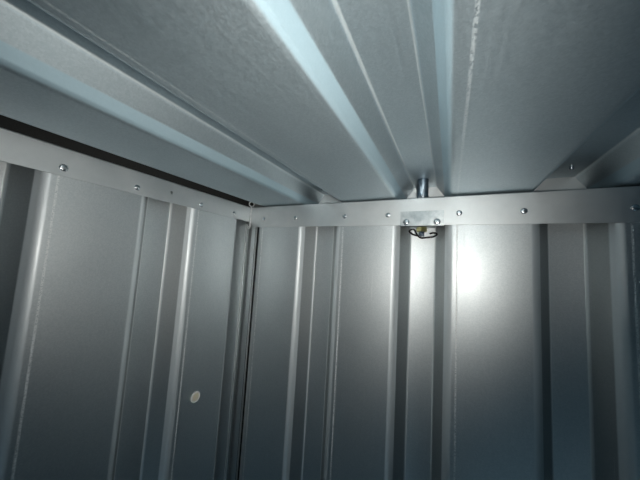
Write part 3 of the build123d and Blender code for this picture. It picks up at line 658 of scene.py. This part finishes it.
# Corner pins. In each corner a pin of twisted galvanised wire hangs through the gap between the rails. It has
# a round eye on top of the rails and a curled end below them.
pin_inset = 0.0043
pin_eye_radius = 0.0058
pin_wire_radius = 0.0014
strand_radius = 0.0011
pin_drop = 0.052
twist_pitch = 0.018
twist_step = 0.0015
curl_radius = 0.0022
curl_out = 0.0017
curl_rise = 0.001
strands = []
for start in (0, math.pi):
    clear()
    foot = (strand_radius * math.cos(start), strand_radius * math.sin(start), -pin_drop)
    bpy.ops.mesh.primitive_circle_add(vertices=8, radius=strand_radius, fill_type="NGON", location=foot)
    strand = bpy.context.object
    bpy.ops.object.transform_apply(location=True, rotation=False, scale=False)
    bpy.ops.object.mode_set(mode="EDIT")
    bpy.ops.mesh.select_all(action="SELECT")
    for number in range(round((pin_drop + pin_wire_radius) / twist_step)):
        bpy.ops.mesh.extrude_region_move(TRANSFORM_OT_translate={"value": (0, 0, twist_step)})
        bpy.ops.transform.rotate(value=2 * math.pi * twist_step / twist_pitch, orient_axis="Z",
                                 center_override=(0, 0, 0))
    bpy.ops.mesh.select_all(action="SELECT")
    bpy.ops.mesh.normals_make_consistent(inside=False)
    bpy.ops.object.mode_set(mode="OBJECT")
    strands.append(strand)
eye_turn = (math.pi / 2, 0, math.pi / 4)
clear()
bpy.ops.mesh.primitive_torus_add(major_radius=pin_eye_radius, minor_radius=pin_wire_radius, major_segments=32,
                                 minor_segments=12, rotation=eye_turn,
                                 location=(0, 0, pin_eye_radius + pin_wire_radius + fit))
eye = bpy.context.object
clear()
bpy.ops.mesh.primitive_torus_add(major_radius=curl_radius, minor_radius=strand_radius, major_segments=24,
                                 minor_segments=8, rotation=eye_turn,
                                 location=(curl_out, curl_out, -pin_drop + curl_rise))
curl = bpy.context.object
pin = joined([eye, *strands, curl])
bpy.ops.object.transform_apply(location=True, rotation=True, scale=True)
corners = []
for x in (inner_left + pin_inset, -inner_left - pin_inset):
    for y in (inner_back - pin_inset, 2 * room_centre - inner_back + pin_inset):
        corners.append(((x, y, rail_top), (0, 0, 1)))
pins = set_out(pin, corners)
wire_zinc = zinc_plated_steel("galvanised_pin_wire", "#ced4d6", "#f0f2f2", 0.42, 0.6)
finished(pins, "corner_pins_twisted", wire_zinc, smooth=60)
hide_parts("corner_pins")

# Wall plug. A round plug of pale polyethylene closes a hole in the left wall. Its rim is raised and whiter than
# the hollow middle, which is yellower.
plug_low, plug_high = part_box("wall_plug")
plug_centre = Vector((inner_left + fit, (plug_low.y + plug_high.y) / 2, (plug_low.z + plug_high.z) / 2))
plug_radius = 0.0102
plug_edge = 0.0016
plug_steps = ((0.0004, 0.0007), (0.0006, 0.0003), (0.0012, 0), (0.0006, -0.0006), (0.0004, -0.0002), (0.003, 0))


def polyethylene_white_rim():
    """Moulded polyethylene, satin: white at the rim, yellower and a little dirty in the middle."""
    material, tree, shader, place = new_material("white_rimmed_polyethylene")
    dirt_size = 0.004
    centred = add(tree, "ShaderNodeVectorMath", (place, plug_centre), operation="SUBTRACT")
    spread = add(tree, "ShaderNodeVectorMath", [centred], operation="LENGTH").outputs["Value"]
    dirt = add(tree, "ShaderNodeTexNoise", {"Vector": place, "Scale": 1 / dirt_size, "Detail": 4})
    share = add(tree, "ShaderNodeMath", (dirt, 0.2), operation="MULTIPLY")
    share = add(tree, "ShaderNodeMath", (spread, 1 / plug_radius, share), operation="MULTIPLY_ADD")
    colour = add(tree, "ShaderNodeValToRGB", [share], ((0.3, "#ece4c8"), (0.78, "#efe8d0"), (0.9, "#fbfaf4")))
    relief = add(tree, "ShaderNodeBump", {"Height": dirt, "Strength": 0.1, "Distance": 0.0003})
    fill(tree, shader, {"Base Color": colour, "Roughness": 0.45, "Normal": relief,
                        "Subsurface Weight": 0.1, "Subsurface Scale": 0.002})
    return material


plug = set_out(turned_piece(plug_radius, plug_edge, plug_steps, 48), [(plug_centre, (1, 0, 0))])
finished(plug, "wall_plug_moulded", polyethylene_white_rim(), smooth=25)
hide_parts("wall_plug")

# Roof rivets. Sealed blind rivets go through each crest near its end. Their tails show under the crest, and
# outside each has a domed head on a washer. At the ties the bolt takes their place.
roof_rivet_out = 0.007
roof_head_radius = 0.006
roof_washer_radius = 0.0075
roof_washer_edge = 0.0008
roof_head_steps = ((0.0003, 0.0002), (roof_washer_radius - roof_head_radius - 0.0003, 0), (0, 0.0005),
                   (0.0012, 0.0004), (0.0016, 0.0002), (0.0016, -0.0006))
tail_neck_radius = 0.00289
tail_neck = 0.0004
tail_steps = ((-0.0005, 0.0012), (0, 0.002), (0.0009, 0.0013), (0.0011, 0.0004), (0.0002, -0.0006))
rib_numbers = range(-across, across + 1)
ends = (inner_back + roof_rivet_out, 2 * room_centre - inner_back - roof_rivet_out)
crests = [(number * rib_pitch, y) for y in ends for number in rib_numbers if y < 0 or abs(number) != tie_rib]
tails = set_out(turned_piece(tail_neck_radius, tail_neck, tail_steps, 16),
                [((x, y, crest_under), (0, 0, -1)) for x, y in crests])
finished(tails, "roof_rivet_tails", bright_zinc, smooth=50)
crest_top = crest_under + sheet_thickness
heads = set_out(turned_piece(roof_washer_radius, roof_washer_edge, roof_head_steps, 16),
                [((x, y, crest_top + (lap_rise if x == 0 else 0)), (0, 0, 1)) for x, y in crests])
finished(heads, "roof_rivet_heads", bright_zinc, smooth=40)

# Floor. Three boards of birch plywood 21 mm thick with a brown phenolic film, whose upper face has the fine
# mesh print that keeps feet from slipping. Years of use have scuffed and dusted it.


def film_faced_plywood():
    """Phenolic film on plywood: dark brown, satin, printed with a mesh, with dust and rubbed places."""
    material, tree, shader, place = new_material("film_faced_plywood")
    mesh_size = 0.0045
    wear_size = 0.18
    mesh_print = add(tree, "ShaderNodeTexVoronoi", {"Vector": place, "Scale": 1 / mesh_size},
                     feature="DISTANCE_TO_EDGE")
    wear = add(tree, "ShaderNodeTexNoise", {"Vector": place, "Scale": 1 / wear_size, "Detail": 6, "Roughness": 0.6})
    colour = add(tree, "ShaderNodeValToRGB", [wear], ((0.35, "#2c2019"), (0.6, "#3a2c22"), (0.8, "#5a4c40")))
    rough = add(tree, "ShaderNodeValToRGB", [wear], ((0.3, 0.4), (0.75, 0.7)))
    relief = add(tree, "ShaderNodeBump", {"Height": mesh_print, "Strength": 0.4, "Distance": 0.0004})
    fill(tree, shader, {"Base Color": colour, "Roughness": rough, "Normal": relief})
    return material


finish_of_slot["plywood"] = film_faced_plywood()

# Seals and corner edges. Black cellular rubber lies between the roof and the rails, and a taller black strip fills the
# hollow of the outermost rib on either side as painted shade. In the corners the sheets and the post end in narrow
# folded hems, with black strips between them as painted shade in the joints.
rib_stop_width = 0.020
rib_stop_from_wall = 0.014
rib_stop_end_gap = 0.010
rib_stop_edge = 0.002
post_hem_out = 0.0235
post_hem_width = 0.0042
sheet_hem_out = 0.0055
sheet_hem_width = 0.0030
hem_depth = 0.0050
hem_edge = 0.0012
joint_depth = 0.0022
joint_edge = 0.0008
post_joint_out = 0.0280
post_joint_width = 0.0030
outer_joint_out = 0.0090
outer_joint_width = 0.0034
inner_joint_out = 0.0024
inner_joint_width = 0.0030
hairline = 0.0001
rail_joint_width = 0.0013
rail_joint_edge = 0.0004


def cellular_rubber():
    """Closed-cell rubber strip: black, matt and finely pitted."""
    material, tree, shader, place = new_material("cellular_rubber_strip")
    pit_size = 0.0015
    pits = add(tree, "ShaderNodeTexNoise", {"Vector": place, "Scale": 1 / pit_size, "Detail": 2})
    colour = add(tree, "ShaderNodeValToRGB", [pits], ((0.3, "#191a1a"), (0.7, "#2b2d2d")))
    rough = add(tree, "ShaderNodeValToRGB", [pits], ((0.3, 0.8), (0.7, 0.95)))
    relief = add(tree, "ShaderNodeBump", {"Height": pits, "Strength": 0.4, "Distance": 0.0005})
    fill(tree, shader, {"Base Color": colour, "Roughness": rough, "Normal": relief})
    return material


def bar(low, high, rounding):
    """A bar between two opposite corners, with rounded edges."""
    clear()
    bpy.ops.mesh.primitive_cube_add(size=1, location=[(a + b) / 2 for a, b in zip(low, high)])
    piece = bpy.context.object
    piece.scale = [b - a for a, b in zip(low, high)]
    bpy.ops.object.transform_apply(location=True, rotation=True, scale=True)
    bpy.ops.object.mode_set(mode="EDIT")
    bpy.ops.mesh.select_all(action="SELECT")
    bpy.ops.mesh.bevel(offset=rounding, segments=3, affect="EDGES")
    bpy.ops.object.mode_set(mode="OBJECT")
    return piece


def mirrored(piece, across_x, across_y):
    """Adds the piece's mirror images at the other side and the other end of the room."""
    copy = piece.modifiers.new("mirror", "MIRROR")
    copy.use_axis = (across_x, across_y, False)
    centre = bpy.data.objects.new("room_centre", None)
    centre.location = (0, room_centre, 0)
    scene.collection.objects.link(centre)
    copy.mirror_object = centre
    copy.use_mirror_merge = False
    only(piece)
    bpy.ops.object.modifier_apply(modifier=copy.name)
    bpy.data.objects.remove(centre)
    bpy.ops.object.mode_set(mode="EDIT")
    bpy.ops.mesh.select_all(action="SELECT")
    bpy.ops.mesh.normals_make_consistent(inside=False)
    bpy.ops.object.mode_set(mode="OBJECT")
    return piece


# The same black serves the real seals and the painted shade in the rib hollows and the corner joints.
seal_black_and_painted_shade = cellular_rubber()
finish_of_slot["seal_foam"] = seal_black_and_painted_shade
stop_x = inner_left - rib_stop_from_wall
stop = bar((stop_x - rib_stop_width, room_centre - half_side + rib_stop_end_gap, rail_top + fit),
           (stop_x, room_centre + half_side - rib_stop_end_gap, crest_under - fit), rib_stop_edge)
finished(mirrored(stop, True, False), "roof_rib_shade_stops", seal_black_and_painted_shade)
rail_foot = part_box("top_rail_left")[0].z
corner_x = inner_left - rib_depth
corner_y = inner_back + rib_depth
foot = wall_foot + fit
top = rail_foot - fit


def bar_on_post(out, width, depth, rounding):
    """An upright bar on the post behind the left wall's crests, this far out from the back wall's pans."""
    return bar((corner_x, inner_back + out, foot), (corner_x + depth, inner_back + out + width, top), rounding)


def bar_on_sheet(out, width, depth, rounding):
    """An upright bar on the post behind the back wall's crests, this far out from the left wall's pans."""
    return bar((inner_left - out, corner_y - depth, foot), (inner_left - out + width, corner_y, top), rounding)


hems = joined([
    bar_on_post(post_hem_out, post_hem_width, hem_depth, hem_edge),
    bar_on_sheet(sheet_hem_out, sheet_hem_width, hem_depth, hem_edge),
])
finished(mirrored(hems, True, True), "corner_post_hems", frame_steel)
joints = joined([
    bar_on_post(post_joint_out, post_joint_width, joint_depth, joint_edge),
    bar_on_sheet(outer_joint_out, outer_joint_width, joint_depth, joint_edge),
    bar_on_sheet(inner_joint_out, inner_joint_width, joint_depth, joint_edge),
    bar((inner_left + hairline, inner_back - hairline - rail_joint_width, rail_foot),
        (inner_left + hairline + rail_joint_width, inner_back - hairline, rail_top), rail_joint_edge),
])
finished(mirrored(joints, True, True), "corner_shade_joints", seal_black_and_painted_shade)

# Doors. Each leaf is a frame of square tube with two panels of the same trapezoidal sheet. Lift-off hinges are
# held by coach bolts, and a round bar with a lever locks the leaves top and bottom.
leaf_bar = 0.050
panel_gap = 0.0003
leaf_rib_centres = (-1.5, -0.5, 0.5, 1.5)
coach_bolt_radius = 0.009
coach_bolt_edge = 0.0008
coach_bolt_steps = ((0.0012, 0.0014), (0.0020, 0.0012), (0.0030, 0.0008))
half_door_gap = 0.0015
hinge_half_height = 0.048
hinge_face_depth = 0.0143
hinge_bolt_in = 0.0305
hinge_bolt_rise = 0.028
lock_level = (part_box("lever_catch")[0].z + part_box("lever_catch")[1].z) / 2
for side in ("left", "right"):
    low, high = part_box(f"door_panels_{side}")
    half_panel = (high.x - low.x) / 2
    line = [(-half_panel, 0)]
    for centre in leaf_rib_centres:
        for offset, rise in ((-half_crest - web_run, 0), (-half_crest, rib_depth), (half_crest, rib_depth),
                             (half_crest + web_run, 0)):
            line.append((centre * rib_pitch + offset, rise))
    line.append((half_panel, 0))
    panels = []
    for foot, top in ((low.z, lock_level - leaf_bar / 2 - panel_gap), (lock_level + leaf_bar / 2 + panel_gap, high.z)):
        panel = rolled_sheet(line, top - foot)
        panel.rotation_euler = (0, 0, math.pi)
        panel.location = ((low.x + high.x) / 2, high.y, foot)
        panels.append(panel)
    panel = finished(joined(panels), f"door_panels_{side}_rolled", wall_sheet_zinc)
    for corner in panel.data.uv_layers[0].data:
        corner.uv.x += rib_pitch / 2
    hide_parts(f"door_panels_{side}")
hinge_low, hinge_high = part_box("hinge_halves_on_posts")
hinge_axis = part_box("door_stiles")[1].x + half_door_gap
hinge_face = hinge_low.y + hinge_face_depth
hinge_levels = (hinge_low.z + hinge_half_height, (hinge_low.z + hinge_high.z) / 2, hinge_high.z - hinge_half_height)
bolt_places = [((side * (hinge_axis + way * hinge_bolt_in), hinge_face, level + rise * hinge_bolt_rise), (0, -1, 0))
               for side in (-1, 1) for way in (-1, 1) for level in hinge_levels for rise in (-1, 1)]
coach_head = turned_piece(coach_bolt_radius, coach_bolt_edge, coach_bolt_steps)
finished(set_out(coach_head, bolt_places), "hinge_coach_bolts", bright_zinc, smooth=60)
fitting_zinc = zinc_plated_steel("hot_dip_galvanised_fittings", "#9fa8ac", "#c2c8ca", 0.36)
finish_of_slot["zinc_plated_fittings"] = fitting_zinc
for subpart in frame["record"]["subparts"]:
    finish = finish_of_slot.get(subpart["material_slot"], frame_steel)
    for material_slot in frame["nodes"][subpart["node"]].material_slots:
        material_slot.material = finish

# Light. Inside, a small hand lamp beside the camera lights the corner, and a dim blue panel stands for the
# daylight that comes in at the door. Outside, soft lamps stand round the container on a pale floor.
lamp_right = 0.030
lamp_down = 0.010
lamp_aim_left = 0.13
lamp_aim_up = 0.18
lamp_data = bpy.data.lights.new("hand_lamp", "SPOT")
lamp_data.spot_size = math.radians(122)
lamp_data.spot_blend = 1.0
lamp_data.shadow_soft_size = 0.012
lamp_data.energy = 6.1
lamp_data.color = linear("#fffaf2")[:3]
lamp = bpy.data.objects.new("hand_lamp", lamp_data)
scene.collection.objects.link(lamp)
lamp.location = camera_place + camera_right * lamp_right - camera_up * lamp_down
lamp_aim = camera_forward - camera_right * lamp_aim_left + camera_up * lamp_aim_up
lamp.rotation_euler = lamp_aim.to_track_quat("-Z", "Y").to_euler()

floor_size = 24
clear()
bpy.ops.mesh.primitive_plane_add(size=floor_size, location=(0, 0, -0.001))
floor = bpy.context.object
floor.name = "pale_floor"
floor_material, tree, shader, place = new_material("pale_floor")
fill(tree, shader, {"Base Color": "#dcdcda", "Roughness": 0.9})
floor.data.materials.append(floor_material)

world = bpy.data.worlds.new("studio")
scene.world = world
world.use_nodes = True
tree = world.node_tree
background = tree.nodes["Background"]
fill(tree, background, {"Color": "#e9ebec", "Strength": 0.5})
backdrop = add(tree, "ShaderNodeBackground", {"Color": "#d6d9da", "Strength": 1})
ray = add(tree, "ShaderNodeLightPath").outputs
mirrored_ray = add(tree, "ShaderNodeMath", (ray["Is Glossy Ray"], ray["Is Transmission Ray"]), operation="MAXIMUM")
seen = add(tree, "ShaderNodeMath", (ray["Is Camera Ray"], mirrored_ray), operation="MAXIMUM")
chosen = add(tree, "ShaderNodeMixShader", (seen, background, backdrop))
fill(tree, tree.nodes["World Output"], {"Surface": chosen})


def soft_lamp(name, place, aim, size, energy, hex_colour="#ffffff"):
    """A square soft lamp that looks at a point."""
    data = bpy.data.lights.new(name, "AREA")
    data.size = size
    data.energy = energy
    data.color = linear(hex_colour)[:3]
    made = bpy.data.objects.new(name, data)
    made.location = place
    made.rotation_euler = (Vector(aim) - Vector(place)).to_track_quat("-Z", "Y").to_euler()
    scene.collection.objects.link(made)


soft_lamp("key_lamp", (-4, -5, 6), (0, 0, 1), 4, 260)
soft_lamp("fill_lamp", (6, 2, 4), (0, 0, 1), 5, 120)
soft_lamp("daylight_on_floor", (0.1, -0.05, 0.125), (0.1, -0.05, 2), 1.1, 2.2, "#b0dcf4")
